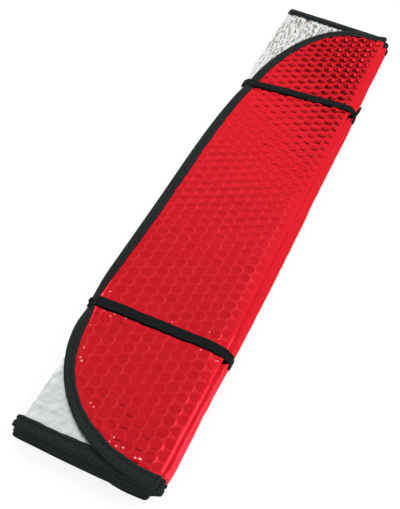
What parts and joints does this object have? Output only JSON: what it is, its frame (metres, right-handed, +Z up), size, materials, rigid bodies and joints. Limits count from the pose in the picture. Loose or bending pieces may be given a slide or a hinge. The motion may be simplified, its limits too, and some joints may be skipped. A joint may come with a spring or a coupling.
{
  "type": "car sunshade",
  "caption": "Windscreen sunshade of foil bubble film, pleated into a flat stack with a loose curved edge, bound with dark tape and held closed by flat elastic straps.",
  "frame": {"origin": "middle of the overall box in plan, on the surface the stack lies on", "axes": "+X along the stack, towards the end with the long shallow corner curve; +Y towards the loose curved edge of the top and bottom panels; +Z up out of the top panel"},
  "size_m": [0.6, 0.1276, 0.0299],
  "materials": {
    "foil_film": "metallized bubble film, satin, red on one side and silver on the other",
    "binding_tape": "woven polyester tape, matte",
    "elastic": "knitted flat elastic, matte"
  },
  "bodies": {
    "root": {"folded_sheet": "foil_film", "edge_binding": "binding_tape", "near_strap": "elastic", "far_strap": "elastic"}
  },
  "joints": []
}
